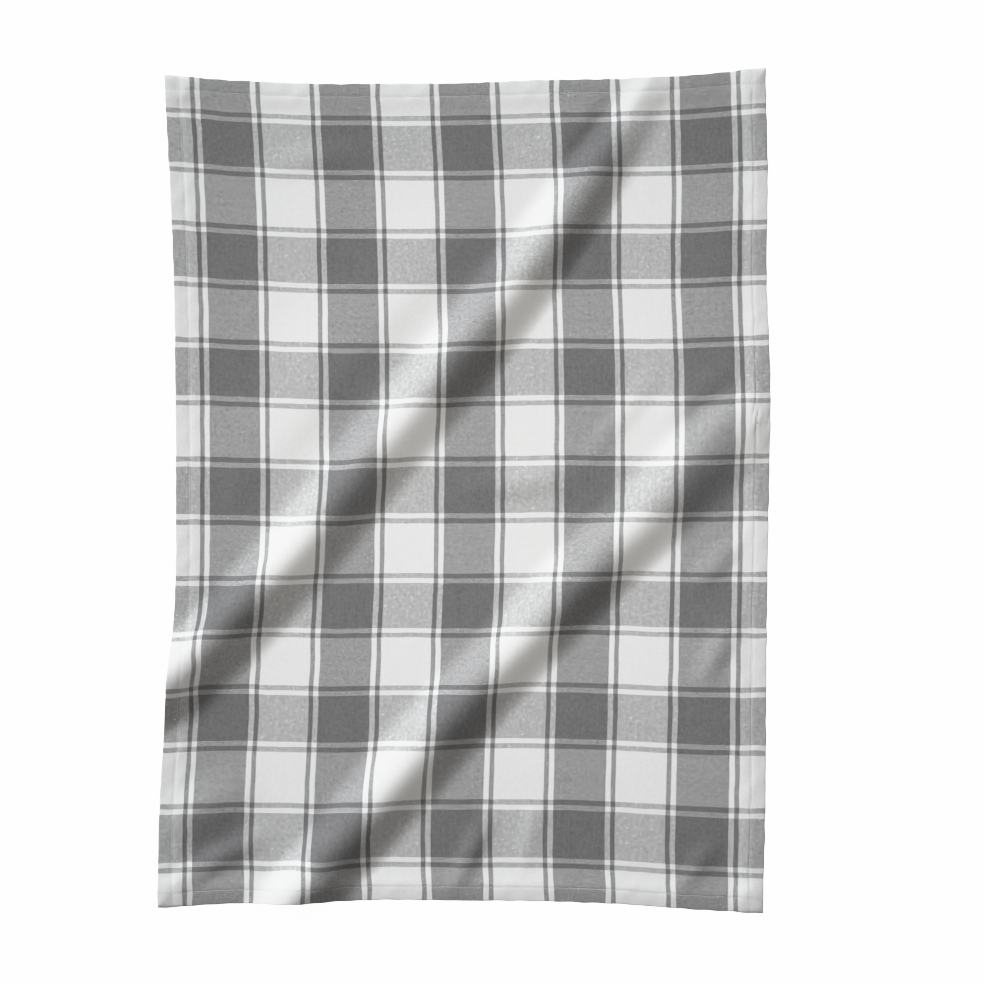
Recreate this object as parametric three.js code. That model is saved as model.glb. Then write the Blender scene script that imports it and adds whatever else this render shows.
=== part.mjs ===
import * as THREE from 'three';

// A cotton tea towel lying on a flat surface, hems out to its four sides. Two soft folds cross it
// slantwise, and a few low wrinkles lie beside them. Millimetres, +X across the width, +Y along the
// length, +Z up, with the origin under the middle of the towel.

const towelWidth = 500;
const towelLength = 700;
const sheetThickness = 1.5;
const columns = 36;
const rows = 50;

// How far each hem lies outside the straight 500 by 700 outline (less than nothing: inside it), at
// nine places equally far apart. The side hems run from the bottom up, the others from left to right.
const hemPlaces = [
  { left: 5, right: -0.5, bottom: -3, top: -4.5 },
  { left: 3, right: 1.5, bottom: -6, top: -8.5 },
  { left: -3, right: 2, bottom: -7, top: -11 },
  { left: -9.5, right: 3, bottom: -9, top: -11 },
  { left: -10.5, right: 4.5, bottom: -8.5, top: -10.5 },
  { left: -10, right: 5.5, bottom: -8, top: -8 },
  { left: -8.5, right: 2.5, bottom: -6, top: -7 },
  { left: -5, right: 3.5, bottom: -1.5, top: -4 },
  { left: -1, right: 1.5, bottom: 1.5, top: 1.5 },
];

// The crest of each fold, from its lower left end to its upper right end: where it runs, how high it
// stands, and how far its foot is from the crest on the upper left side and on the lower right side.
const longFold = [
  { x: -272, y: -178, height: 13.5, upperFoot: 32, lowerFoot: 38 },
  { x: -217, y: -130, height: 13.5, upperFoot: 31, lowerFoot: 39 },
  { x: -139, y: -47.5, height: 13, upperFoot: 33, lowerFoot: 39 },
  { x: -72, y: 34, height: 12, upperFoot: 34, lowerFoot: 39 },
  { x: 3, y: 123, height: 12, upperFoot: 33, lowerFoot: 38 },
  { x: 61, y: 197, height: 10, upperFoot: 32, lowerFoot: 36 },
  { x: 97, y: 248, height: 9, upperFoot: 30, lowerFoot: 33 },
  { x: 123.5, y: 287.5, height: 6, upperFoot: 23, lowerFoot: 30 },
  { x: 155.5, y: 341.5, height: 2, upperFoot: 18, lowerFoot: 26 },
  { x: 170, y: 368, height: 0, upperFoot: 18, lowerFoot: 24 },
];
const cornerFold = [
  { x: -169, y: -371, height: 11, upperFoot: 31, lowerFoot: 38 },
  { x: -116, y: -308, height: 12, upperFoot: 31, lowerFoot: 38 },
  { x: -83, y: -271, height: 12, upperFoot: 35, lowerFoot: 38 },
  { x: -35, y: -214.5, height: 12, upperFoot: 35, lowerFoot: 39 },
  { x: 22, y: -151.5, height: 11.5, upperFoot: 33, lowerFoot: 37 },
  { x: 72, y: -100, height: 11, upperFoot: 36, lowerFoot: 37 },
  { x: 119.5, y: -51.5, height: 11, upperFoot: 35, lowerFoot: 38 },
  { x: 170, y: -1, height: 10, upperFoot: 36, lowerFoot: 43 },
  { x: 204, y: 38, height: 8.5, upperFoot: 32, lowerFoot: 48 },
  { x: 226, y: 61, height: 6, upperFoot: 28, lowerFoot: 46 },
  { x: 252, y: 89, height: 0, upperFoot: 28, lowerFoot: 36 },
];

// Low wrinkles, each straight from start to end and dying away at both. The left and the right foot
// are those of someone who walks along it.
const wrinkles = [
  { startX: -20, startY: 0, endX: 118, endY: 14, height: 2, leftFoot: 16, rightFoot: 20 },
  { startX: 85, startY: 5, endX: 172, endY: 112, height: 1.2, leftFoot: 14, rightFoot: 16 },
  { startX: -205, startY: 262, endX: -50, endY: 290, height: 1.2, leftFoot: 18, rightFoot: 18 },
  { startX: -265, startY: -292, endX: -165, endY: -238, height: 3.2, leftFoot: 30, rightFoot: 30 },
  { startX: -262, startY: -338, endX: -150, endY: -278, height: 2.8, leftFoot: 14, rightFoot: 16 },
  { startX: -15, startY: -345, endX: 28, endY: -255, height: 2.6, leftFoot: 14, rightFoot: 14 },
  { startX: 48, startY: -325, endX: 62, endY: -250, height: 1.4, leftFoot: 12, rightFoot: 14 },
  { startX: 168, startY: -350, endX: 218, endY: -280, height: 1.6, leftFoot: 13, rightFoot: 14 },
  { startX: 190, startY: -175, endX: 232, endY: -95, height: 2.2, leftFoot: 15, rightFoot: 15 },
  { startX: 180, startY: -92, endX: 244, endY: -28, height: 1.6, leftFoot: 16, rightFoot: 14 },
  { startX: 150, startY: 50, endX: 245, endY: 112, height: 1.2, leftFoot: 22, rightFoot: 15 },
  { startX: 221, startY: 60, endX: 225, endY: 338, height: 1.8, leftFoot: 55, rightFoot: 13 },
  { startX: 225, startY: -345, endX: 227, endY: 60, height: 1.5, leftFoot: 50, rightFoot: 14 },
  { startX: -255, startY: -70, endX: 60, endY: 290, height: 2.6, leftFoot: 70, rightFoot: 34 },
  { startX: 62, startY: 262, endX: 128, endY: 346, height: 1.4, leftFoot: 30, rightFoot: 13 },
];

const crestSamples = 72;

// A box's sixth side is its underside, and two triangles make a cell.
const undersideGroup = 5;
const cornersPerCell = 6;

function hemCurve(side) {
  const points = hemPlaces.map((place, index) => new THREE.Vector2(index, place[side]));
  return new THREE.SplineCurve(points);
}

const hems = {
  left: hemCurve('left'),
  right: hemCurve('right'),
  bottom: hemCurve('bottom'),
  top: hemCurve('top'),
};

// The place on the surface of a point of the cloth, with across and along each from 0 to 1.
function placeInOutline(across, along) {
  const leftward = hems.left.getPoint(along).y * (1 - across);
  const rightward = hems.right.getPoint(along).y * across;
  const downward = hems.bottom.getPoint(across).y * (1 - along);
  const upward = hems.top.getPoint(across).y * along;
  return {
    x: (across - 0.5) * towelWidth - leftward + rightward,
    y: (along - 0.5) * towelLength - downward + upward,
  };
}

// The crest's places and the heights and feet along it, each read from one smooth curve.
function sampleCrest(fold) {
  const route = new THREE.SplineCurve(fold.map((row) => new THREE.Vector2(row.x, row.y)));
  const feet = new THREE.SplineCurve(fold.map((row) => new THREE.Vector2(row.upperFoot, row.lowerFoot)));
  const heights = new THREE.SplineCurve(fold.map((row, index) => new THREE.Vector2(index, row.height)));
  const samples = [];
  for (let index = 0; index <= crestSamples; index += 1) {
    const part = index / crestSamples;
    const place = route.getPoint(part);
    const foot = feet.getPoint(part);
    samples.push({
      place,
      direction: route.getTangent(part),
      height: Math.max(0, heights.getPoint(part).y),
      upperFoot: foot.x,
      lowerFoot: foot.y,
    });
  }
  return samples;
}

// A smooth hump: 1 at the crest, 0 from the foot outward, level at both.
function hump(distance, foot) {
  if (distance >= foot) return 0;
  return 0.5 * (1 + Math.cos((Math.PI * distance) / foot));
}

function foldHeight(crest, x, y) {
  let nearest = crest[0];
  let nearestGap = Infinity;
  for (const sample of crest) {
    const gap = Math.hypot(x - sample.place.x, y - sample.place.y);
    if (gap < nearestGap) {
      nearestGap = gap;
      nearest = sample;
    }
  }
  const offsetX = x - nearest.place.x;
  const offsetY = y - nearest.place.y;
  const side = nearest.direction.x * offsetY - nearest.direction.y * offsetX;
  const foot = side > 0 ? nearest.upperFoot : nearest.lowerFoot;
  return nearest.height * hump(Math.abs(side), foot);
}

function wrinkleHeight(wrinkle, x, y) {
  const start = new THREE.Vector2(wrinkle.startX, wrinkle.startY);
  const run = new THREE.Vector2(wrinkle.endX, wrinkle.endY).sub(start);
  const length = run.length();
  run.divideScalar(length);
  const offset = new THREE.Vector2(x, y).sub(start);
  const alongRun = offset.dot(run);
  const fromMiddle = Math.abs(alongRun - length / 2);
  const side = run.cross(offset);
  const foot = side > 0 ? wrinkle.leftFoot : wrinkle.rightFoot;
  return wrinkle.height * hump(fromMiddle, length / 2) * hump(Math.abs(side), foot);
}

const crests = [sampleCrest(longFold), sampleCrest(cornerFold)];

// The height of the cloth's underside over the surface. It is 0 wherever no fold lifts it.
function undersideHeight(x, y) {
  let height = 0;
  for (const crest of crests) height += foldHeight(crest, x, y);
  for (const wrinkle of wrinkles) height += wrinkleHeight(wrinkle, x, y);
  return height;
}

// Cuts each cell of the underside along the same slant as the cell above it, which is the folds' own
// slant, so that the sheet is equally thick all over.
function matchUnderside(geometry) {
  const underside = geometry.groups[undersideGroup];
  const corners = geometry.index;
  const end = underside.start + underside.count;
  for (let first = underside.start; first < end; first += cornersPerCell) {
    const a = corners.getX(first);
    const b = corners.getX(first + 1);
    const c = corners.getX(first + 4);
    const d = corners.getX(first + 2);
    [a, b, c, a, c, d].forEach((corner, place) => corners.setX(first + place, corner));
  }
}

function clothGeometry() {
  const geometry = new THREE.BoxGeometry(towelWidth, towelLength, sheetThickness, columns, rows, 1);
  matchUnderside(geometry);
  const positions = geometry.getAttribute('position');
  for (let index = 0; index < positions.count; index += 1) {
    const across = positions.getX(index) / towelWidth + 0.5;
    const along = positions.getY(index) / towelLength + 0.5;
    const place = placeInOutline(across, along);
    const underside = undersideHeight(place.x, place.y);
    const aboveUnderside = positions.getZ(index) + sheetThickness / 2;
    positions.setXYZ(index, place.x, place.y, underside + aboveUnderside);
  }
  geometry.computeVertexNormals();
  return geometry;
}

const checkedCotton = new THREE.MeshStandardMaterial({
  color: 0xa8a8aa,
  roughness: 0.9,
  metalness: 0,
});

const towel = new THREE.Mesh(clothGeometry(), checkedCotton);
towel.name = 'towel';

const group = new THREE.Group();
group.add(towel);

export default group;
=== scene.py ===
import math
import random

import bmesh
import bpy
import numpy as np
from mathutils import Matrix, Vector


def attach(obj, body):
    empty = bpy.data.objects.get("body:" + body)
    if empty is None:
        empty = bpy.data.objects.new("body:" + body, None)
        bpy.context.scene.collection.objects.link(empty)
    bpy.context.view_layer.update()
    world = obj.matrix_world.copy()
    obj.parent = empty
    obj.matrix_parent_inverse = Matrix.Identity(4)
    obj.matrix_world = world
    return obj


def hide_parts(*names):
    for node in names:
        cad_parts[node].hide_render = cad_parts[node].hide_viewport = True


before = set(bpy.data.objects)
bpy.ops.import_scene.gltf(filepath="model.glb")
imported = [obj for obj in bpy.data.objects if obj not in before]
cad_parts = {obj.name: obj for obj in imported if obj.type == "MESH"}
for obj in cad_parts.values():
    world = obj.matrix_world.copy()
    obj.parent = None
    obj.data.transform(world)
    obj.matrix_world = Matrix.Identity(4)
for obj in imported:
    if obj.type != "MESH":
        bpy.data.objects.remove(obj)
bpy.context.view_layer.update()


# The towel's cloth. One panel of plain-woven cotton, cut 540 by 740 mm, with all four edges turned
# under twice. The side hems were turned first and the end hems over them, so the corners are thick.
# It lies open on a flat surface, pushed up into two soft slanting folds.
TOWEL_WIDTH = 0.500
TOWEL_LENGTH = 0.700
CLOTH_THICKNESS = 0.00032
LAYER_PITCH = 0.00055
HEM_WIDTH = 0.0128
HEM_SLOPE = 0.0155
TUCKED_IN = 0.0062
SEAM_INSET = 0.0115
SEAM_HALF_WIDTH = 0.0013
SEAM_PINCH = 0.34
PRESSED_FLATTER = 0.38
PRESSED_WIDTH = 0.0086
CORNER_PRESSED = 0.42
LEFT_EDGE_CURL = 0.0009
LEFT_CURL_WIDTH = 0.014
CORNER_UNPINCHED = 0.8
HEM_LAYERS = 2

# The ripples of the hems are waves that slower waves bend. Both are in radians a metre.
RIPPLE_HEIGHT = 0.00025
RIPPLE_FADE = 0.03
RIPPLE_BEND = 2
CLOSE_RIPPLE = dict(x=310, y=270, bent_along_y=23, bent_along_x=19)
WIDE_RIPPLE = dict(x=97, y=83, with_y=61, less_x=37, share=0.6)

# The tables are in millimetres, as on a tape measure.
MM_PER_METRE = 1000
DRIFT_HELD_AT_SIDES = 6
CREST_SAMPLES = 73

# How far each hem lies outside the straight outline, at nine places equally far apart, in millimetres.
# The side hems run from the bottom up, the others from left to right.
HEM_PLACES = [
    dict(left=5, right=-0.5, bottom=-3, top=-4.5),
    dict(left=3, right=1.5, bottom=-6, top=-8.5),
    dict(left=-3, right=2, bottom=-7, top=-11),
    dict(left=-9.5, right=3, bottom=-9, top=-11),
    dict(left=-10.5, right=4.5, bottom=-8.5, top=-10.5),
    dict(left=-10, right=5.5, bottom=-8, top=-8),
    dict(left=-8.5, right=2.5, bottom=-6, top=-7),
    dict(left=-5, right=3.5, bottom=-1.5, top=-4),
    dict(left=-1, right=1.5, bottom=1.5, top=1.5),
]

# How far the woven check has drifted to the right and up, and how far its left end stands up and its
# right end down, at fifteen places from the bottom hem up, in millimetres.
WEAVE_DRIFT = [
    dict(x=0, y=0, tilt=0), dict(x=-2, y=0.6, tilt=0), dict(x=-2.2, y=3, tilt=0), dict(x=-1.9, y=4, tilt=0),
    dict(x=-1.6, y=3.9, tilt=0), dict(x=-1.4, y=2.3, tilt=0), dict(x=-1.3, y=2.1, tilt=0.2),
    dict(x=-1.1, y=3.1, tilt=0.5), dict(x=-1, y=3.7, tilt=0.7), dict(x=-0.8, y=4.3, tilt=1),
    dict(x=-0.5, y=4.4, tilt=1.4), dict(x=-0.2, y=3.9, tilt=1.8), dict(x=0, y=2.4, tilt=2),
    dict(x=0, y=1.2, tilt=2), dict(x=0, y=0, tilt=0),
]

# The crest of each fold from its lower left end on, in millimetres: where it runs, how high it stands
# and how far off its foot is on the upper left side and on the lower right side.
LONG_FOLD = [
    dict(x=-272, y=-178, height=13.5, upper=32, lower=38),
    dict(x=-217, y=-130, height=13.5, upper=31, lower=39),
    dict(x=-139, y=-47.5, height=13, upper=33, lower=39),
    dict(x=-72, y=34, height=12, upper=34, lower=39),
    dict(x=3, y=123, height=12, upper=33, lower=38),
    dict(x=61, y=197, height=10, upper=32, lower=36),
    dict(x=97, y=248, height=9, upper=30, lower=33),
    dict(x=123.5, y=287.5, height=6, upper=23, lower=30),
    dict(x=155.5, y=341.5, height=2, upper=18, lower=26),
    dict(x=170, y=368, height=0, upper=18, lower=24),
]
CORNER_FOLD = [
    dict(x=-169, y=-371, height=11, upper=31, lower=38),
    dict(x=-116, y=-308, height=12, upper=31, lower=38),
    dict(x=-83, y=-271, height=12, upper=35, lower=38),
    dict(x=-35, y=-214.5, height=12, upper=35, lower=39),
    dict(x=22, y=-151.5, height=11.5, upper=33, lower=37),
    dict(x=72, y=-100, height=11, upper=36, lower=37),
    dict(x=119.5, y=-51.5, height=11, upper=35, lower=38),
    dict(x=170, y=-1, height=10, upper=36, lower=43),
    dict(x=204, y=38, height=8.5, upper=32, lower=48),
    dict(x=226, y=61, height=6, upper=28, lower=46),
    dict(x=252, y=89, height=0, upper=28, lower=36),
]
# Smaller rises: from where to where, how high, and how wide on the left and on the right of that run.
WRINKLES = [
    dict(start=(-20, 0), end=(118, 14), height=2, left=16, right=20),
    dict(start=(85, 5), end=(172, 112), height=1.2, left=14, right=16),
    dict(start=(-205, 262), end=(-50, 290), height=1.2, left=18, right=18),
    dict(start=(-265, -292), end=(-165, -238), height=3.2, left=30, right=30),
    dict(start=(-262, -338), end=(-150, -278), height=2.8, left=14, right=16),
    dict(start=(-15, -345), end=(28, -255), height=2.6, left=14, right=14),
    dict(start=(48, -325), end=(62, -250), height=1.4, left=12, right=14),
    dict(start=(168, -350), end=(218, -280), height=1.6, left=13, right=14),
    dict(start=(190, -175), end=(232, -95), height=2.2, left=15, right=15),
    dict(start=(180, -92), end=(244, -28), height=1.6, left=16, right=14),
    dict(start=(150, 50), end=(245, 112), height=1.2, left=22, right=15),
    dict(start=(221, 60), end=(225, 338), height=1.8, left=55, right=13),
    dict(start=(225, -345), end=(227, 60), height=1.5, left=50, right=14),
    dict(start=(-255, -70), end=(60, 290), height=2.6, left=70, right=34),
    dict(start=(62, 262), end=(128, 346), height=1.4, left=30, right=13),
]


def column(rows, name):
    return np.array([row[name] for row in rows], float)


def smooth_curve(values, part):
    """Reads a smooth curve through equally spaced values, with part from 0 at the first to 1 at the last."""
    last = len(values) - 1
    place = np.clip(part, 0, 1) * last
    left = np.clip(np.floor(place).astype(int), 0, last - 1)
    step = place - left
    before = values[np.maximum(left - 1, 0)]
    start, end = values[left], values[left + 1]
    after = values[np.minimum(left + 2, last)]
    leave, arrive = (end - before) / 2, (after - start) / 2
    cubic = 2 * start - 2 * end + leave + arrive
    square = -3 * start + 3 * end - 2 * leave - arrive
    return ((cubic * step + square) * step + leave) * step + start


def hump(distance, foot):
    """1 at the crest and 0 from the foot outward, level at both."""
    return 0.5 * (1 + np.cos(np.pi * np.clip(np.abs(distance) / foot, 0, 1)))


class Fold:
    """A ridge of cloth along a curved crest."""

    def __init__(self, rows):
        part = np.linspace(0, 1, CREST_SAMPLES)
        self.x = smooth_curve(column(rows, "x"), part) / MM_PER_METRE
        self.y = smooth_curve(column(rows, "y"), part) / MM_PER_METRE
        self.height = np.maximum(smooth_curve(column(rows, "height"), part), 0) / MM_PER_METRE
        self.upper = smooth_curve(column(rows, "upper"), part) / MM_PER_METRE
        self.lower = smooth_curve(column(rows, "lower"), part) / MM_PER_METRE
        run = np.stack([np.gradient(self.x), np.gradient(self.y)])
        self.run = run / np.linalg.norm(run, axis=0)

    def nearest(self, x, y):
        """The nearest crest sample to each place, and the place's distance to its upper left."""
        gap = (x[..., None] - self.x) ** 2 + (y[..., None] - self.y) ** 2
        sample = gap.argmin(axis=-1)
        run_x, run_y = self.run[0][sample], self.run[1][sample]
        side = run_x * (y - self.y[sample]) - run_y * (x - self.x[sample])
        return sample, side

    def lift(self, x, y):
        sample, side = self.nearest(x, y)
        foot = np.where(side > 0, self.upper[sample], self.lower[sample])
        return self.height[sample] * hump(side, foot)

    def pull(self, x, y):
        """How far the fold draws the cloth on each side towards its crest, to have the cloth it needs."""
        sample, side = self.nearest(x, y)
        foot = np.where(side > 0, self.upper[sample], self.lower[sample])
        width = self.upper[sample] + self.lower[sample]
        taken = (np.pi * self.height[sample]) ** 2 / (4 * width)
        reach = np.clip(side / foot, -1, 1)
        share = 0.5 * (reach - np.sin(2 * np.pi * reach) / (2 * np.pi))
        return self.run[1][sample] * taken * share, -self.run[0][sample] * taken * share


FOLDS = [Fold(LONG_FOLD), Fold(CORNER_FOLD)]


def wrinkle_lift(row, x, y):
    start, end = np.array(row["start"]) / MM_PER_METRE, np.array(row["end"]) / MM_PER_METRE
    length = np.linalg.norm(end - start)
    run = (end - start) / length
    along = (x - start[0]) * run[0] + (y - start[1]) * run[1]
    side = run[0] * (y - start[1]) - run[1] * (x - start[0])
    width = np.where(side > 0, row["left"], row["right"]) / MM_PER_METRE
    middle = length / 2
    return row["height"] / MM_PER_METRE * hump(along - middle, middle) * hump(side, width)


def lift(x, y):
    """The height of the cloth's underside over the surface."""
    height = sum(fold.lift(x, y) for fold in FOLDS)
    return height + sum(wrinkle_lift(row, x, y) for row in WRINKLES)


def pull(x, y):
    pulls = [fold.pull(x, y) for fold in FOLDS]
    return sum(p[0] for p in pulls), sum(p[1] for p in pulls)


def drift(rows, name, part):
    return smooth_curve(column(rows, name), part) / MM_PER_METRE


def place_on_surface(x, y):
    """Where a point of the finished, unfolded towel lies: within the outline, and drawn in by the folds."""
    across, along = x / TOWEL_WIDTH + 0.5, y / TOWEL_LENGTH + 0.5
    left = smooth_curve(column(HEM_PLACES, "left"), along) * (1 - across) / MM_PER_METRE
    right = smooth_curve(column(HEM_PLACES, "right"), along) * across / MM_PER_METRE
    bottom = smooth_curve(column(HEM_PLACES, "bottom"), across) * (1 - along) / MM_PER_METRE
    top = smooth_curve(column(HEM_PLACES, "top"), across) * along / MM_PER_METRE
    half_width, half_length = TOWEL_WIDTH / 2, TOWEL_LENGTH / 2
    pull_x, pull_y = pull(x, y)
    on_left, on_right = pull(np.full_like(x, -half_width), y), pull(np.full_like(x, half_width), y)
    on_bottom, on_top = pull(x, np.full_like(y, -half_length)), pull(x, np.full_like(y, half_length))
    held_x = on_left[0] * (1 - across) + on_right[0] * across
    held_y = on_bottom[1] * (1 - along) + on_top[1] * along
    drift_x = drift(WEAVE_DRIFT, "x", along) * (1 - (2 * across - 1) ** DRIFT_HELD_AT_SIDES)
    drift_y = drift(WEAVE_DRIFT, "y", along) - drift(WEAVE_DRIFT, "tilt", along) * (2 * across - 1)
    plan_x = x - left + right + pull_x - held_x + drift_x
    return plan_x, y - bottom + top + pull_y - held_y + drift_y


def smooth_step(value):
    value = np.clip(value, 0, 1)
    return value * value * (3 - 2 * value)


def turned(cut, finished_half, pitch, offset):
    """Folds a cut coordinate under at a double hem. Gives the finished coordinate and how deep in the
    stack the cloth then lies. The offset is how deep it already lay in the stack that is folded, off
    its middle."""
    side = np.sign(cut)
    outer, inner = pitch, pitch / 2
    back = HEM_WIDTH - outer
    beyond = np.abs(cut) - (finished_half - outer)
    first_turn = np.clip(beyond / outer, 0, np.pi)
    went_back = np.clip(beyond - np.pi * outer, 0, back)
    second_turn = np.clip((beyond - np.pi * outer - back) / inner, 0, np.pi)
    went_forth = np.maximum(beyond - np.pi * (outer + inner) - back, 0)
    reach = np.minimum(beyond, 0) + (outer - offset) * np.sin(first_turn) - went_back
    reach = reach - (inner + offset) * np.sin(second_turn) + went_forth
    depth = offset * np.cos(first_turn) * np.cos(second_turn)
    depth = depth + outer * (1 - np.cos(first_turn)) - inner * (1 - np.cos(second_turn))
    return side * (finished_half - outer + reach), depth


def layers_below(x, half_width):
    """How many layers of a hem lie below the top one: two over the hem, none past the slope off it."""
    return HEM_LAYERS * (1 - smooth_step((half_width - np.abs(x) - HEM_WIDTH) / HEM_SLOPE))


def in_corner(x, y):
    """1 where a side hem and an end hem lie on each other, and 0 away from there."""
    return layers_below(x, TOWEL_WIDTH / 2) * layers_below(y, TOWEL_LENGTH / 2) / HEM_LAYERS ** 2


def pinch(x, y):
    """How much the stitching squeezes the layers together: most on the seams, and in between not at all."""
    to_side = np.abs(TOWEL_WIDTH / 2 - np.abs(x) - SEAM_INSET)
    to_end = np.abs(TOWEL_LENGTH / 2 - np.abs(y) - SEAM_INSET)
    squeeze = SEAM_PINCH * hump(np.minimum(to_side, to_end), SEAM_HALF_WIDTH)
    return squeeze * (1 - CORNER_UNPINCHED * in_corner(x, y))


def pressed(x, y):
    """How flat the stack was pressed: less than 1 along its folded edges and in its thick corners."""
    from_side = np.clip((TOWEL_WIDTH / 2 - np.abs(x)) / PRESSED_WIDTH, 0, 1)
    from_end = np.clip((TOWEL_LENGTH / 2 - np.abs(y)) / PRESSED_WIDTH, 0, 1)
    from_edge = np.minimum(from_side, from_end)
    at_edge = 1 - PRESSED_FLATTER * (1 - from_edge) ** 2
    return at_edge * (1 - CORNER_PRESSED * in_corner(x, y))


def edge_curl(x):
    """How far the left hem's edge stands up off the surface."""
    return LEFT_EDGE_CURL * (1 - np.clip((x + TOWEL_WIDTH / 2) / LEFT_CURL_WIDTH, 0, 1)) ** 2


def ripple(x, y):
    """The small rise and fall of a hem between its stitches, in the cloth and in its edge."""
    close, wide = CLOSE_RIPPLE, WIDE_RIPPLE
    close_x = np.sin(x * close["x"] + RIPPLE_BEND * np.sin(y * close["bent_along_y"]))
    close_y = np.sin(y * close["y"] + RIPPLE_BEND * np.sin(x * close["bent_along_x"]))
    wide_x = wide["share"] * np.sin(x * wide["x"] + y * wide["with_y"])
    wide_y = np.sin(y * wide["y"] - x * wide["less_x"])
    waves = close_x * close_y + wide_x * wide_y
    to_side = TOWEL_WIDTH / 2 - np.abs(x)
    to_end = TOWEL_LENGTH / 2 - np.abs(y)
    return waves * (1 - smooth_step((np.minimum(to_side, to_end) - HEM_WIDTH) / RIPPLE_FADE))


def top_of_hems(x, y):
    """How high the cloth's top side stands over its underside, on and off the hems."""
    side_stack = LAYER_PITCH * layers_below(x, TOWEL_WIDTH / 2)
    stack = side_stack + (LAYER_PITCH + side_stack) * layers_below(y, TOWEL_LENGTH / 2)
    stack = stack * pressed(x, y)
    pinched = stack * (1 - pinch(x, y) / 2)
    return CLOTH_THICKNESS + pinched + np.maximum(RIPPLE_HEIGHT * ripple(x, y), 0) + edge_curl(x)


def cloth_places(cut_x, cut_y):
    """Where points of the cut panel are in the finished towel, as it lies."""
    x, depth = turned(cut_x, TOWEL_WIDTH / 2, LAYER_PITCH, np.zeros_like(cut_x))
    side_stack = LAYER_PITCH * layers_below(x, TOWEL_WIDTH / 2)
    folded_pitch = LAYER_PITCH + side_stack
    y, depth = turned(cut_y, TOWEL_LENGTH / 2, folded_pitch, depth - side_stack / 2)
    depth = depth + side_stack / 2
    stack = side_stack + folded_pitch * layers_below(y, TOWEL_LENGTH / 2)
    over_middle = (stack / 2 - depth) * (1 - pinch(x, y))
    plan_x, plan_y = place_on_surface(x, y)
    ripples = RIPPLE_HEIGHT * ripple(x, y)
    in_stack = (stack / 2 + over_middle) * pressed(x, y)
    raised = np.maximum(ripples, 0) + edge_curl(x)
    z = lift(plan_x, plan_y) + CLOTH_THICKNESS / 2 + in_stack + raised
    return plan_x + ripples, plan_y + ripples, z


# The mesh's lines over a hem, in millimetres from its edge, then under it as parts of its width, and
# then in what is tucked in, in millimetres from the second turn. They are close at the seam.
LINES_ON_TOP = [24, 21.5, 19, 17, 15.2, 14, 13, 12.2, 11.5, 10.8, 10, 8.3, 6.3, 4.2, 2.4, 1.2]
LINES_UNDER = [0.35, 0.75, 0.87, 0.94, 1]
LINES_TUCKED = [0.8, 1.7, 4.5]
OUTER_TURN_CELLS = 5
INNER_TURN_CELLS = 3
CELLS_ACROSS = 124
CELLS_ALONG = 186


def cut_lines(finished_half, cells):
    """Where the mesh's lines cross the cut panel: close at the seam and the turns, even in between."""
    outer, inner = LAYER_PITCH, LAYER_PITCH / 2
    top = finished_half - np.append(np.array(LINES_ON_TOP) / MM_PER_METRE, outer)
    round_outer = np.linspace(0, 1, OUTER_TURN_CELLS + 1)[1:]
    round_inner = np.linspace(0, 1, INNER_TURN_CELLS + 1)[1:]
    first_turn = finished_half - outer + np.pi * outer * round_outer
    under = first_turn[-1] + (HEM_WIDTH - outer) * np.array(LINES_UNDER)
    second_turn = under[-1] + np.pi * inner * round_inner
    tucked = second_turn[-1] + np.array(LINES_TUCKED) / MM_PER_METRE
    tucked = np.append(tucked, second_turn[-1] + TUCKED_IN)
    lines = np.concatenate([top, first_turn, under, second_turn, tucked])
    start = finished_half - HEM_WIDTH - HEM_SLOPE
    return np.concatenate([-lines[::-1], np.linspace(-start, start, cells + 1), lines])


lines_x = cut_lines(TOWEL_WIDTH / 2, CELLS_ACROSS)
lines_y = cut_lines(TOWEL_LENGTH / 2, CELLS_ALONG)
bm = bmesh.new()
bmesh.ops.create_grid(bm, x_segments=len(lines_x) - 1, y_segments=len(lines_y) - 1, size=1)
cloth_mesh = bpy.data.meshes.new("towel_cloth")
bm.to_mesh(cloth_mesh)
bm.free()

flat = np.empty(len(cloth_mesh.vertices) * 3)
cloth_mesh.vertices.foreach_get("co", flat)
flat = flat.reshape(-1, 3)
line_x = np.rint((flat[:, 0] + 1) / 2 * (len(lines_x) - 1)).astype(int)
line_y = np.rint((flat[:, 1] + 1) / 2 * (len(lines_y) - 1)).astype(int)
cut_x, cut_y = lines_x[line_x], lines_y[line_y]
places = np.stack(cloth_places(cut_x, cut_y), axis=1)
cloth_mesh.vertices.foreach_set("co", places.ravel())

# The panel's own map, in metres on the cut cloth, so that the check follows the yarns round the hems.
loops = np.empty(len(cloth_mesh.loops), int)
cloth_mesh.loops.foreach_get("vertex_index", loops)
cloth_map = cloth_mesh.uv_layers.new(name="cut_panel")
cloth_map.data.foreach_set("uv", np.stack([cut_x[loops], cut_y[loops]], axis=1).ravel())
cloth_mesh.polygons.foreach_set("use_smooth", np.ones(len(cloth_mesh.polygons), bool))
cloth_mesh.update()

cloth = bpy.data.objects.new("towel_cloth", cloth_mesh)
bpy.context.scene.collection.objects.link(cloth)
thickness = cloth.modifiers.new("cloth_thickness", "SOLIDIFY")
thickness.thickness = CLOTH_THICKNESS
thickness.offset = 0

# Each band is a whole number of yarns, counted here from the middle of a wide grey band, and the
# repeat mirrors about that middle.
WARP_PITCH = 0.000625
WARP_REPEAT = 160
WARP_WIDE_GREY = 34
WARP_THIN_GREY = (44, 3)
WEFT_PITCH = 0.0007
WEFT_REPEAT = 140
WEFT_WIDE_GREY = 28
WEFT_THIN_GREY = (37, 3)
WHITE_YARN = (0.80, 0.80, 0.795, 1)
GREY_YARN = (0.1595, 0.1585, 0.161, 1)

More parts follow.
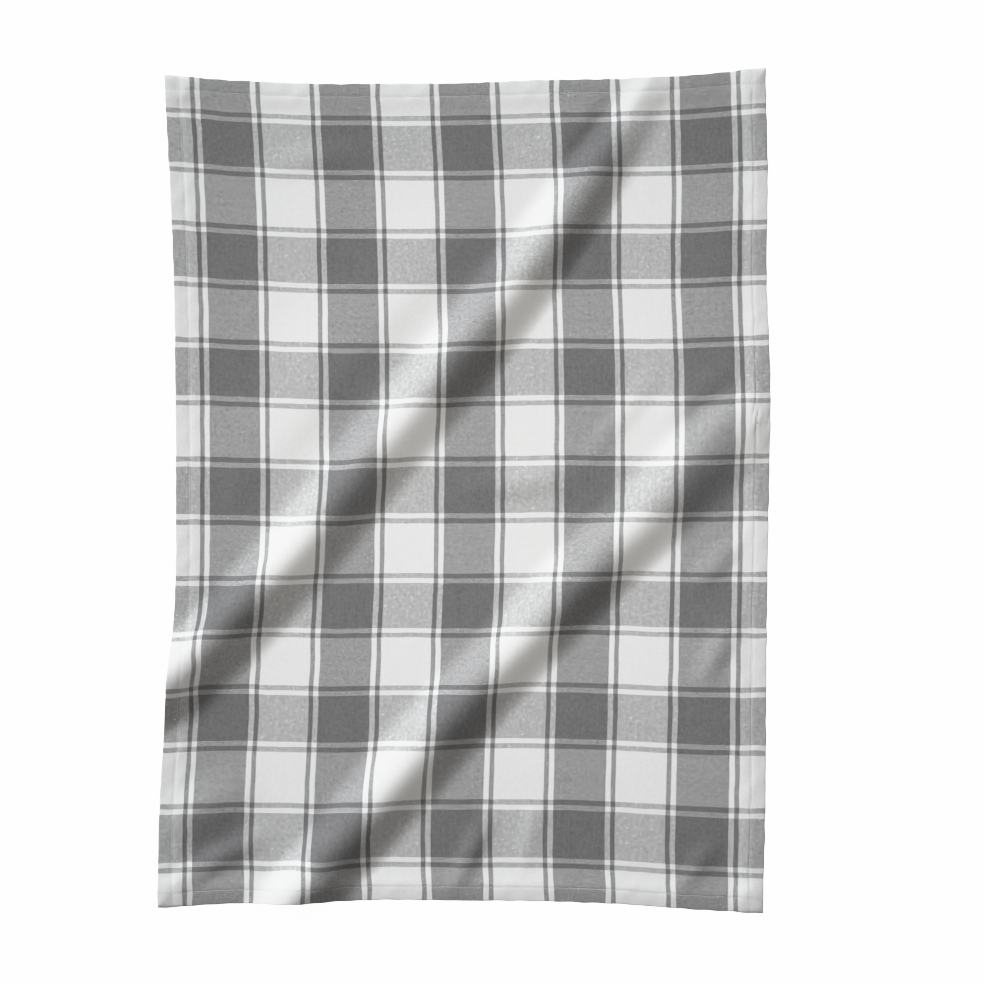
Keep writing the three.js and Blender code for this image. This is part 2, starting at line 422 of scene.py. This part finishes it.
# Socket numbers of Blender's Mix node, for colours and for plain values.
FIRST_COLOUR, SECOND_COLOUR, MIXED_COLOUR = 6, 7, 2
FIRST_VALUE, SECOND_VALUE = 2, 3


def feed(tree, socket, value):
    if isinstance(value, bpy.types.NodeSocket):
        tree.links.new(value, socket)
    else:
        socket.default_value = value


def work_out(tree, operation, *values):
    node = tree.nodes.new("ShaderNodeMath")
    node.operation = operation
    for socket, value in zip(node.inputs, values):
        feed(tree, socket, value)
    return node.outputs[0]


def work_out_vector(tree, operation, *values):
    node = tree.nodes.new("ShaderNodeVectorMath")
    node.operation = operation
    for socket, value in zip(node.inputs, values):
        feed(tree, socket, value)
    return node.outputs[0]


def join_vector(tree, x, y, z=0.0):
    node = tree.nodes.new("ShaderNodeCombineXYZ")
    for socket, value in zip(node.inputs, (x, y, z)):
        feed(tree, socket, value)
    return node.outputs[0]


def noise(tree, place, scale, detail=2.0):
    """Soft noise about nought, between about minus and plus a half."""
    node = tree.nodes.new("ShaderNodeTexNoise")
    node.noise_dimensions = "2D"
    feed(tree, node.inputs["Vector"], place)
    node.inputs["Scale"].default_value = scale
    node.inputs["Detail"].default_value = detail
    return work_out(tree, "SUBTRACT", node.outputs["Fac"], 0.5)


def mix_colours(tree, share, first, second):
    node = tree.nodes.new("ShaderNodeMix")
    node.data_type = "RGBA"
    feed(tree, node.inputs["Factor"], share)
    feed(tree, node.inputs[FIRST_COLOUR], first)
    feed(tree, node.inputs[SECOND_COLOUR], second)
    return node.outputs[MIXED_COLOUR]


def add_up(tree, *terms):
    """Sums values, each given with its weight."""
    total = 0.0
    for value, weight in terms:
        total = work_out(tree, "MULTIPLY_ADD", value, weight, total)
    return total


# The loose fibres on cotton yarn, for the cloth and for the thread: single fluff and larger tufts.
FLUFF_DETAIL = 3.0
FLUFF_SHADE = 0.6
TUFT_SCALE = 0.23
TUFT_SHADE = 0.4
cotton_fibres = bpy.data.node_groups.new("cotton_fibres", "ShaderNodeTree")
cotton_fibres.interface.new_socket("Place", in_out="INPUT", socket_type="NodeSocketVector")
cotton_fibres.interface.new_socket("Fineness", in_out="INPUT", socket_type="NodeSocketFloat")
cotton_fibres.interface.new_socket("Shade", in_out="OUTPUT", socket_type="NodeSocketFloat")
cotton_fibres.interface.new_socket("Height", in_out="OUTPUT", socket_type="NodeSocketFloat")
fibres_in = cotton_fibres.nodes.new("NodeGroupInput")
fibres_out = cotton_fibres.nodes.new("NodeGroupOutput")
fibre_place = cotton_fibres.nodes.new("ShaderNodeVectorMath")
fibre_place.operation = "SCALE"
feed(cotton_fibres, fibre_place.inputs[0], fibres_in.outputs["Place"])
feed(cotton_fibres, fibre_place.inputs["Scale"], fibres_in.outputs["Fineness"])
fluff = noise(cotton_fibres, fibre_place.outputs[0], 1, FLUFF_DETAIL)
tufts = noise(cotton_fibres, fibre_place.outputs[0], TUFT_SCALE)
fibre_shade = add_up(cotton_fibres, (fluff, FLUFF_SHADE), (tufts, TUFT_SHADE))
feed(cotton_fibres, fibres_out.inputs["Shade"], fibre_shade)
feed(cotton_fibres, fibres_out.inputs["Height"], add_up(cotton_fibres, (fluff, 1.0), (tufts, 1.0)))

cotton = bpy.data.materials.new("checked_cotton")
cotton.use_nodes = True
tree = cotton.node_tree
cotton_shader = tree.nodes["Principled BSDF"]
panel = tree.nodes.new("ShaderNodeUVMap")
panel.uv_map = "cut_panel"
panel = panel.outputs["UV"]

# Yarns wander a little, and lengthways not as they do sideways.
YARN_WANDER = 0.0012
WANDER_SCALE = 45
OTHER_WANDER = (3.7, 1.9, 0)
sideways = noise(tree, panel, WANDER_SCALE)
lengthways = noise(tree, work_out_vector(tree, "ADD", panel, OTHER_WANDER), WANDER_SCALE)
parts = tree.nodes.new("ShaderNodeSeparateXYZ")
feed(tree, parts.inputs[0], panel)
panel_x = work_out(tree, "MULTIPLY_ADD", sideways, YARN_WANDER, parts.outputs["X"])
panel_y = work_out(tree, "MULTIPLY_ADD", lengthways, YARN_WANDER, parts.outputs["Y"])


YARN_APART = 7.3
UNEVEN_SCALE = 160
FINE_SCALE = 700
FINE_DETAIL = 1.0
WARP_LUCK_SEED = 11.0
WEFT_LUCK_SEED = 57.0


class Yarns:
    """The warp or the weft: which yarn a point is on, how far across it, its colour and its thickness."""

    def __init__(self, tree, across, along, pitch, repeat, wide_grey, thin_grey, seed):
        at = work_out(tree, "DIVIDE", across, pitch)
        self.number = work_out(tree, "FLOOR", at)
        part = work_out(tree, "FRACT", at)
        off_middle = work_out(tree, "MULTIPLY_ADD", part, 2.0, -1.0)
        self.roundness = work_out(tree, "SUBTRACT", 1.0, work_out(tree, "MULTIPLY", off_middle, off_middle))
        from_band = work_out(tree, "PINGPONG", work_out(tree, "ADD", self.number, 0.5), repeat / 2)
        wide = work_out(tree, "LESS_THAN", from_band, wide_grey)
        thin = work_out(tree, "COMPARE", from_band, *thin_grey)
        self.grey = work_out(tree, "ADD", wide, thin)
        dice = tree.nodes.new("ShaderNodeTexWhiteNoise")
        dice.noise_dimensions = "1D"
        feed(tree, dice.inputs["W"], work_out(tree, "ADD", self.number, seed))
        self.luck = work_out(tree, "SUBTRACT", dice.outputs["Value"], 0.5)
        own_line = work_out(tree, "MULTIPLY", self.number, YARN_APART)
        slowly = work_out(tree, "MULTIPLY", along, UNEVEN_SCALE)
        self.thick_and_thin = noise(tree, join_vector(tree, own_line, slowly), 1)
        quickly = work_out(tree, "MULTIPLY", along, FINE_SCALE)
        self.fine = noise(tree, join_vector(tree, own_line, quickly), 1, FINE_DETAIL)


warp = Yarns(tree, panel_x, panel_y, WARP_PITCH, WARP_REPEAT, WARP_WIDE_GREY, WARP_THIN_GREY,
             WARP_LUCK_SEED)
weft = Yarns(tree, panel_y, panel_x, WEFT_PITCH, WEFT_REPEAT, WEFT_WIDE_GREY, WEFT_THIN_GREY,
             WEFT_LUCK_SEED)

# Plain weave: at each crossing the warp and the weft take turns on top. The warp yarns are the thicker,
# so they also show at the edges of the weft's floats, and more so where they are thick.
both = work_out(tree, "ADD", warp.number, weft.number)
takes_turn = work_out(tree, "PINGPONG", both, 1.0)
MOTTLE_SCALE = 330
FLUFFY_DETAIL = 3.0
WARP_SHOWS = dict(always=0.56, thickness=0.7, weft_thickness=-0.5, luck=0.16, weft_luck=-0.12, mottle=1.1)
mottle = noise(tree, panel, MOTTLE_SCALE, FLUFFY_DETAIL)
warp_margin = add_up(
    tree,
    (warp.thick_and_thin, WARP_SHOWS["thickness"]),
    (weft.thick_and_thin, WARP_SHOWS["weft_thickness"]),
    (warp.luck, WARP_SHOWS["luck"]),
    (weft.luck, WARP_SHOWS["weft_luck"]),
    (mottle, WARP_SHOWS["mottle"]),
)
warp_margin = work_out(tree, "ADD", warp_margin, WARP_SHOWS["always"])
shows_beside = work_out(tree, "LESS_THAN", weft.roundness, warp_margin)
warp_on_top = work_out(tree, "MAXIMUM", takes_turn, shows_beside)


def pick(tree, share, none, full):
    node = tree.nodes.new("ShaderNodeMix")
    feed(tree, node.inputs[0], share)
    feed(tree, node.inputs[FIRST_VALUE], none)
    feed(tree, node.inputs[SECOND_VALUE], full)
    return node.outputs[0]


grey_on_top = pick(tree, warp_on_top, weft.grey, warp.grey)
grey_below = pick(tree, warp_on_top, warp.grey, weft.grey)
top_luck = pick(tree, warp_on_top, weft.luck, warp.luck)
top_thickness = pick(tree, warp_on_top, weft.thick_and_thin, warp.thick_and_thin)
top_fine = pick(tree, warp_on_top, weft.fine, warp.fine)
top_roundness = pick(tree, warp_on_top, weft.roundness, warp.roundness)

# A white yarn lets the grey one below it show through; a grey one hides what is below it.
white_over_grey = work_out(tree, "MULTIPLY", grey_below, work_out(tree, "SUBTRACT", 1.0, grey_on_top))
grey_over_white = work_out(tree, "MULTIPLY", grey_on_top, work_out(tree, "SUBTRACT", 1.0, grey_below))
fibres = tree.nodes.new("ShaderNodeGroup")
fibres.node_tree = cotton_fibres
feed(tree, fibres.inputs["Place"], panel)
CLOTH_FIBRES = 5200
fibres.inputs["Fineness"].default_value = CLOTH_FIBRES
UNEVEN_SHADE = dict(luck=0.03, thickness=0.14, fine=0.12, mottle=0.14, fibres=0.10)
uneven = add_up(
    tree,
    (top_luck, UNEVEN_SHADE["luck"]),
    (top_thickness, UNEVEN_SHADE["thickness"]),
    (top_fine, UNEVEN_SHADE["fine"]),
    (mottle, UNEVEN_SHADE["mottle"]),
    (fibres.outputs["Shade"], UNEVEN_SHADE["fibres"]),
)
UNEVEN_IN_WHITE, UNEVEN_MORE_IN_GREY = 0.6, 2.6
grey_is_rougher = work_out(tree, "MULTIPLY_ADD", grey_on_top, UNEVEN_MORE_IN_GREY, UNEVEN_IN_WHITE)
SMALL_CLOUDS = dict(scale=60, shade=0.10)
LARGE_CLOUDS = dict(scale=14, shade=0.05)
small_clouds = noise(tree, panel, SMALL_CLOUDS["scale"], FLUFFY_DETAIL)
large_clouds = noise(tree, panel, LARGE_CLOUDS["scale"])
dye_clouds = add_up(tree, (small_clouds, SMALL_CLOUDS["shade"]), (large_clouds, LARGE_CLOUDS["shade"]))
mixed = work_out(tree, "MAXIMUM", white_over_grey, grey_over_white)
only_warp_grey = work_out(tree, "MULTIPLY", warp.grey, work_out(tree, "SUBTRACT", 1.0, weft.grey))
FLECKS = dict(scale=620, detail=1.0, everywhere=0.05, mixed=0.18, warp_grey=0.34)
fleck_strength = add_up(tree, (mixed, FLECKS["mixed"]), (only_warp_grey, FLECKS["warp_grey"]))
fleck_strength = work_out(tree, "ADD", fleck_strength, FLECKS["everywhere"])
fleck_noise = noise(tree, panel, FLECKS["scale"], FLECKS["detail"])
flecks = work_out(tree, "MULTIPLY", fleck_noise, fleck_strength)
# Each yarn is painted darker towards its edges and lighter on its round middle: painted shade in the hollows
# of the weave and painted light on the yarns' tops.
MEAN_ROUNDNESS = 2 / 3
painted_yarn_shading = work_out(tree, "SUBTRACT", top_roundness, MEAN_ROUNDNESS)
CLOUDS_IN_WHITE, CLOUDS_MORE_IN_GREY = 0.3, 1.5
clouds_in_grey = work_out(tree, "MULTIPLY_ADD", grey_on_top, CLOUDS_MORE_IN_GREY, CLOUDS_IN_WHITE)
SHOW_THROUGH = dict(white_over_grey=-0.26, grey_over_white=0.18)
PAINTED_YARN_SHADING = 0.16
shade = add_up(
    tree,
    (white_over_grey, SHOW_THROUGH["white_over_grey"]),
    (grey_over_white, SHOW_THROUGH["grey_over_white"]),
    (flecks, 1.0),
    (painted_yarn_shading, PAINTED_YARN_SHADING),
    (work_out(tree, "MULTIPLY", uneven, grey_is_rougher), 1.0),
    (work_out(tree, "MULTIPLY", dye_clouds, clouds_in_grey), 1.0),
)

# Here and there a slub: a short thick piece of a yarn that catches the light, or a darker speck in it.
SLUB_SCALE = 150
SLUB_SQUEEZE = (1, 1.7, 1)
SLUB_LEAST, SLUB_SPREAD = 0.02, 0.2
SLUBS_IN_PLAIN, SLUBS_MORE_IN_MIXED = 0.2, 1.5
LIGHT_SLUBS_ABOVE, DARK_SLUBS_BELOW = 0.68, 0.13
LIGHT_SLUB_SHADE, DARK_SLUB_SHADE = 0.3, -0.2
slub_place = tree.nodes.new("ShaderNodeTexVoronoi")
slub_place.voronoi_dimensions = "2D"
slub_place.inputs["Scale"].default_value = SLUB_SCALE
feed(tree, slub_place.inputs["Vector"], work_out_vector(tree, "MULTIPLY", panel, SLUB_SQUEEZE))
slub_dice = tree.nodes.new("ShaderNodeSeparateColor")
feed(tree, slub_dice.inputs[0], slub_place.outputs["Color"])
slub_size = work_out(tree, "MULTIPLY_ADD", slub_dice.outputs[1], SLUB_SPREAD, SLUB_LEAST)
off_slub = work_out(tree, "DIVIDE", slub_place.outputs["Distance"], slub_size)
is_slub = work_out(tree, "MAXIMUM", work_out(tree, "SUBTRACT", 1.0, off_slub), 0.0)
more_in_mixed = work_out(tree, "MULTIPLY_ADD", mixed, SLUBS_MORE_IN_MIXED, SLUBS_IN_PLAIN)
is_slub = work_out(tree, "MULTIPLY", is_slub, more_in_mixed)
is_light = work_out(tree, "GREATER_THAN", slub_dice.outputs[0], LIGHT_SLUBS_ABOVE)
light_slub = work_out(tree, "MULTIPLY", is_slub, is_light)
is_dark = work_out(tree, "LESS_THAN", slub_dice.outputs[0], DARK_SLUBS_BELOW)
dark_slub = work_out(tree, "MULTIPLY", is_slub, is_dark)
shade = add_up(tree, (shade, 1.0), (light_slub, LIGHT_SLUB_SHADE), (dark_slub, DARK_SLUB_SHADE))

# On a hem the layers below keep the light from passing through, so the cloth there is painted a little
# darker, more so on grey: painted shade for the light the layers hold back.
HEM_PAINTED_SHADE = 0.06
SIDE_HEM_GREY_PAINTED_SHADE = 0.08
END_HEM_GREY_PAINTED_SHADE = 0.06
panel_parts = tree.nodes.new("ShaderNodeSeparateXYZ")
feed(tree, panel_parts.inputs[0], panel)
over_side_hem = work_out(tree, "GREATER_THAN", work_out(tree, "ABSOLUTE", panel_parts.outputs["X"]),
                         TOWEL_WIDTH / 2 - HEM_WIDTH)
over_end_hem = work_out(tree, "GREATER_THAN", work_out(tree, "ABSOLUTE", panel_parts.outputs["Y"]),
                        TOWEL_LENGTH / 2 - HEM_WIDTH)
side_hem_painted_amount = work_out(tree, "MULTIPLY_ADD", weft.grey, SIDE_HEM_GREY_PAINTED_SHADE, HEM_PAINTED_SHADE)
side_hem_painted_shade = work_out(tree, "MULTIPLY", over_side_hem, side_hem_painted_amount)
end_hem_painted_amount = work_out(tree, "MULTIPLY_ADD", warp.grey, END_HEM_GREY_PAINTED_SHADE, HEM_PAINTED_SHADE)
end_hem_painted_shade = work_out(tree, "MULTIPLY", over_end_hem, end_hem_painted_amount)
shade = add_up(tree, (shade, 1.0), (side_hem_painted_shade, -1.0), (end_hem_painted_shade, -1.0))
shade = work_out(tree, "ADD", shade, 1.0)
yarn_colour = mix_colours(tree, grey_on_top, WHITE_YARN, GREY_YARN)
shade_colour = join_vector(tree, shade, shade, shade)
colour = work_out_vector(tree, "MULTIPLY", yarn_colour, shade_colour)
feed(tree, cotton_shader.inputs["Base Color"], colour)

RELIEF = dict(weave=0.4, roundness=0.6, thickness=0.8, fine=0.4, mottle=0.5, slubs=0.4, fibres=0.25)
RELIEF_STRENGTH = 0.35
RELIEF_DEPTH = 0.00012
weave_height = work_out(tree, "ADD", warp.roundness, weft.roundness)
height = add_up(
    tree,
    (weave_height, RELIEF["weave"]),
    (top_roundness, RELIEF["roundness"]),
    (top_thickness, RELIEF["thickness"]),
    (top_fine, RELIEF["fine"]),
    (mottle, RELIEF["mottle"]),
    (light_slub, RELIEF["slubs"]),
    (fibres.outputs["Height"], RELIEF["fibres"]),
)
relief = tree.nodes.new("ShaderNodeBump")
relief.inputs["Strength"].default_value = RELIEF_STRENGTH
relief.inputs["Distance"].default_value = RELIEF_DEPTH
feed(tree, relief.inputs["Height"], height)
feed(tree, cotton_shader.inputs["Normal"], relief.outputs["Normal"])
ROUGHNESS = dict(mean=0.92, fine=0.15, grey=-0.04)
roughness = add_up(tree, (top_fine, ROUGHNESS["fine"]), (grey_on_top, ROUGHNESS["grey"]))
roughness = work_out(tree, "ADD", roughness, ROUGHNESS["mean"])
feed(tree, cotton_shader.inputs["Roughness"], roughness)
GLOSS = 0.25
SHEEN, SHEEN_ROUGHNESS, SHEEN_TINT = 0.12, 0.55, (0.95, 0.96, 1, 1)
cotton_shader.inputs["Specular IOR Level"].default_value = GLOSS
cotton_shader.inputs["Sheen Weight"].default_value = SHEEN
cotton_shader.inputs["Sheen Roughness"].default_value = SHEEN_ROUGHNESS
cotton_shader.inputs["Sheen Tint"].default_value = SHEEN_TINT
cloth_mesh.materials.append(cotton)

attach(cloth, "root")
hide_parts("towel")


# The hems' stitching. One lockstitch seam of white cotton thread down each side hem and then along each
# end hem, from edge to edge. The needle thread lies on the top side, the bobbin thread underneath.
STITCH_PITCH = 0.003
STITCH_LENGTH = 0.00275
THREAD_THICKNESS = 0.00034
STITCH_ARCH = 0.00022
SEAM_END = 0.003
STITCH_SLANT, SLANT_SPREAD = 3, 2
SHORTEST_STITCH, LONGEST_STITCH = 0.94, 1.04
STITCH_SIDES = 6
STITCH_SEED = 7


def seam(bm, start, end):
    """Lays stitches in a row from start to end on the flat towel."""
    start, end = Vector(start), Vector(end)
    run = end - start
    count = round(run.length / STITCH_PITCH)
    turn = Matrix.Rotation(math.atan2(run.y, run.x), 4, "Z")
    for number in range(count):
        middle = Matrix.Translation(start + run * (number + 0.5) / count)
        slant = Matrix.Rotation(math.radians(random.gauss(STITCH_SLANT, SLANT_SPREAD)), 4, "Z")
        longer = Matrix.Diagonal((random.uniform(SHORTEST_STITCH, LONGEST_STITCH), 1, 1, 1))
        place = middle @ turn @ slant @ longer
        one_stitch.transform(place)
        bm.from_mesh(one_stitch)
        one_stitch.transform(place.inverted())


random.seed(STITCH_SEED)
bm = bmesh.new()
lying = Matrix.Rotation(math.pi / 2, 4, "Y")
slim = Matrix.Diagonal((STITCH_LENGTH, THREAD_THICKNESS, THREAD_THICKNESS, 1))
bmesh.ops.create_uvsphere(
    bm, u_segments=STITCH_SIDES, v_segments=STITCH_SIDES, radius=0.5, matrix=slim @ lying
)
one_stitch = bpy.data.meshes.new("stitch")
bm.to_mesh(one_stitch)
bm.free()
seam_x, seam_y = TOWEL_WIDTH / 2 - SEAM_INSET, TOWEL_LENGTH / 2 - SEAM_INSET
edge_x, edge_y = TOWEL_WIDTH / 2 - SEAM_END, TOWEL_LENGTH / 2 - SEAM_END
bm = bmesh.new()
for level in (0.0, 1.0):
    seam(bm, (-seam_x, -edge_y, level), (-seam_x, edge_y, level))
    seam(bm, (seam_x, -edge_y, level), (seam_x, edge_y, level))
    seam(bm, (-edge_x, -seam_y, level), (edge_x, -seam_y, level))
    seam(bm, (-edge_x, seam_y, level), (edge_x, seam_y, level))
stitch_mesh = bpy.data.meshes.new("hem_stitches")
bm.to_mesh(stitch_mesh)
bm.free()
bpy.data.meshes.remove(one_stitch)

laid = np.empty(len(stitch_mesh.vertices) * 3)
stitch_mesh.vertices.foreach_get("co", laid)
laid = laid.reshape(-1, 3)
on_top = laid[:, 2] > 0.5
off_middle = laid[:, 2] - on_top
on_end_seam = np.abs(np.abs(laid[:, 1]) - seam_y) < STITCH_PITCH / 4
travelled = np.where(on_end_seam, laid[:, 0] + edge_x, laid[:, 1] + edge_y)
seam_length = np.where(on_end_seam, 2 * edge_x, 2 * edge_y)
stitch_part = travelled / seam_length * np.round(seam_length / STITCH_PITCH) % 1
sink = STITCH_ARCH * (2 * stitch_part - 1) ** 2
plan_x, plan_y = place_on_surface(laid[:, 0], laid[:, 1])
cloth_top = top_of_hems(laid[:, 0], laid[:, 1])
above_top = cloth_top + THREAD_THICKNESS / 4 - sink
above_bottom = THREAD_THICKNESS / 2 + edge_curl(laid[:, 0])
above = np.where(on_top, above_top, above_bottom)
ripples = RIPPLE_HEIGHT * ripple(laid[:, 0], laid[:, 1])
stitched = [plan_x + ripples, plan_y + ripples, lift(plan_x, plan_y) + above + off_middle]
stitch_mesh.vertices.foreach_set("co", np.stack(stitched, axis=1).ravel())

thread_map = stitch_mesh.uv_layers.new(name="thread")
loops = np.empty(len(stitch_mesh.loops), int)
stitch_mesh.loops.foreach_get("vertex_index", loops)
thread_map.data.foreach_set("uv", np.stack([travelled[loops], off_middle[loops]], axis=1).ravel())
stitch_mesh.polygons.foreach_set("use_smooth", np.ones(len(stitch_mesh.polygons), bool))
stitch_mesh.update()
stitches = bpy.data.objects.new("hem_stitches", stitch_mesh)
bpy.context.scene.collection.objects.link(stitches)

white_thread = bpy.data.materials.new("white_thread")
white_thread.use_nodes = True
tree = white_thread.node_tree
thread_shader = tree.nodes["Principled BSDF"]
PLY_LENGTH = 0.0006
THREAD_COLOUR = (0.84, 0.835, 0.82)
THREAD_FIBRES = 9000
PLY = dict(shade=0.25, height=2.0, roughness=0.2)
FIBRES_ON_THREAD = dict(shade=0.3, height=0.3)
THREAD_MEAN_SHADE = 0.9
THREAD_ROUGHNESS = 0.7
THREAD_RELIEF_STRENGTH = 0.5
THREAD_RELIEF_DEPTH = 0.00006
THREAD_SHEEN = 0.1
thread_place = tree.nodes.new("ShaderNodeUVMap")
thread_place.uv_map = "thread"
thread_parts = tree.nodes.new("ShaderNodeSeparateXYZ")
feed(tree, thread_parts.inputs[0], thread_place.outputs["UV"])
PLIES_PER_METRE = 1 / PLY_LENGTH
along_thread, across_thread = thread_parts.outputs["X"], thread_parts.outputs["Y"]
twist = add_up(tree, (along_thread, PLIES_PER_METRE), (across_thread, PLIES_PER_METRE))
ply = work_out(tree, "PINGPONG", twist, 0.5)
fibres = tree.nodes.new("ShaderNodeGroup")
fibres.node_tree = cotton_fibres
feed(tree, fibres.inputs["Place"], thread_place.outputs["UV"])
fibres.inputs["Fineness"].default_value = THREAD_FIBRES
thread_shade = add_up(tree, (ply, PLY["shade"]), (fibres.outputs["Shade"], FIBRES_ON_THREAD["shade"]))
thread_shade = work_out(tree, "ADD", thread_shade, THREAD_MEAN_SHADE)
shade_colour = join_vector(tree, thread_shade, thread_shade, thread_shade)
thread_colour = work_out_vector(tree, "MULTIPLY", THREAD_COLOUR, shade_colour)
feed(tree, thread_shader.inputs["Base Color"], thread_colour)
thread_relief = tree.nodes.new("ShaderNodeBump")
thread_relief.inputs["Strength"].default_value = THREAD_RELIEF_STRENGTH
thread_relief.inputs["Distance"].default_value = THREAD_RELIEF_DEPTH
fibre_height = fibres.outputs["Height"]
thread_height = add_up(tree, (ply, PLY["height"]), (fibre_height, FIBRES_ON_THREAD["height"]))
feed(tree, thread_relief.inputs["Height"], thread_height)
feed(tree, thread_shader.inputs["Normal"], thread_relief.outputs["Normal"])
thread_roughness = work_out(tree, "MULTIPLY_ADD", ply, PLY["roughness"], THREAD_ROUGHNESS)
feed(tree, thread_shader.inputs["Roughness"], thread_roughness)
thread_shader.inputs["Sheen Weight"].default_value = THREAD_SHEEN
stitch_mesh.materials.append(white_thread)

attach(stitches, "root")
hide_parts("towel")


# The camera looks straight down on the towel, as in the photograph. Its frame is 820 mm square on the
# surface, with the towel a little left of its middle.
LENS = 85
SENSOR = 36
camera_data = bpy.data.cameras.new("camera")
camera_data.lens = LENS
camera_data.sensor_width = SENSOR
camera = bpy.data.objects.new("camera", camera_data)
bpy.context.scene.collection.objects.link(camera)
bpy.context.scene.camera = camera
VIEW_SIDE = 0.820
VIEW_CENTRE = (0.0237, -0.0012)
distance = VIEW_SIDE / 2 / math.tan(camera_data.angle / 2)
camera.location = (VIEW_CENTRE[0], VIEW_CENTRE[1], distance)

# The surface is a plain pale sheet that goes on past the frame on all sides. It glows to the camera
# alone, so it shows as near white and casts no extra light on the towel.
FLOOR_HALF_SIDE = 4
FLOOR_COLOUR = (0.8, 0.8, 0.79, 1)
FLOOR_GLOW_COLOUR = (1, 1, 0.985, 1)
FLOOR_ROUGHNESS = 0.9
FLOOR_GLOW = 1.9
bm = bmesh.new()
bmesh.ops.create_grid(bm, x_segments=1, y_segments=1, size=FLOOR_HALF_SIDE)
floor_mesh = bpy.data.meshes.new("floor")
bm.to_mesh(floor_mesh)
bm.free()
floor = bpy.data.objects.new("floor", floor_mesh)
bpy.context.scene.collection.objects.link(floor)
floor_paint = bpy.data.materials.new("floor_paint")
floor_paint.use_nodes = True
tree = floor_paint.node_tree
floor_shader = tree.nodes["Principled BSDF"]
floor_shader.inputs["Base Color"].default_value = FLOOR_COLOUR
floor_shader.inputs["Roughness"].default_value = FLOOR_ROUGHNESS
floor_shader.inputs["Emission Color"].default_value = FLOOR_GLOW_COLOUR
seen = tree.nodes.new("ShaderNodeLightPath")
feed(tree, floor_shader.inputs["Emission Strength"],
     work_out(tree, "MULTIPLY", seen.outputs["Is Camera Ray"], FLOOR_GLOW))
floor_mesh.materials.append(floor_paint)

# The camera's own tone curve: as the light falls, with a soft shoulder for the brightest cloth. Each
# row gives a brightness and how bright it is shown.
BRIGHTEST, SHOWN_BRIGHTEST = 2.5, 0.99
SHOULDER = ((0.35, 0.35), (0.65, 0.645), (0.775, 0.755), (1, 0.865), (1.3, 0.935), (1.8, 0.975))
scene = bpy.context.scene
scene.view_settings.view_transform = "Standard"
scene.view_settings.look = "None"
scene.view_settings.use_curve_mapping = True
tone = scene.view_settings.curve_mapping
tone.extend = "HORIZONTAL"
tone.clip_max_x = BRIGHTEST
for curve in tone.curves[:3]:
    curve.points[0].location = (0, 0)
    curve.points[1].location = (BRIGHTEST, SHOWN_BRIGHTEST)
    for light, shown in SHOULDER:
        curve.points.new(light, shown)
tone.update()

# A low soft light from the upper left shows the folds, a weak small one hangs over the middle, and
# the room's light fills their shade. The room is seen as pale as the surface.
KEY_SIZE = 2.1
KEY_ENERGY = 2180
KEY_PLACE = (-8.208, 7.392, 4.688)
OVERHEAD_SIZE = 0.35
OVERHEAD_ENERGY = 1.04
OVERHEAD_PLACE = (0.03, 0.0, 0.50)
COOL_LIGHT = (0.975, 1, 1.03)
WARM_LIGHT = (1.03, 1, 0.955)
WORLD_LIGHT = 0.1
BACKDROP_GLOW = 2.9
key_data = bpy.data.lights.new("key", "AREA")
key_data.size = KEY_SIZE
key_data.energy = KEY_ENERGY
key_data.color = COOL_LIGHT
key = bpy.data.objects.new("key", key_data)
bpy.context.scene.collection.objects.link(key)
key.location = KEY_PLACE
key.rotation_euler = (Vector((0, 0, 0)) - key.location).to_track_quat("-Z", "Y").to_euler()
overhead_data = bpy.data.lights.new("overhead", "AREA")
overhead_data.shape = "DISK"
overhead_data.size = OVERHEAD_SIZE
overhead_data.energy = OVERHEAD_ENERGY
overhead_data.color = WARM_LIGHT
overhead = bpy.data.objects.new("overhead", overhead_data)
bpy.context.scene.collection.objects.link(overhead)
overhead.location = OVERHEAD_PLACE
overhead.visible_camera = False
world = bpy.data.worlds.new("world")
bpy.context.scene.world = world
world.use_nodes = True
tree = world.node_tree
backdrop = tree.nodes["Background"]
backdrop.inputs["Color"].default_value = (*WARM_LIGHT, 1)
seen = tree.nodes.new("ShaderNodeLightPath")
feed(tree, backdrop.inputs["Strength"],
     work_out(tree, "MULTIPLY_ADD", seen.outputs["Is Camera Ray"], BACKDROP_GLOW, WORLD_LIGHT))
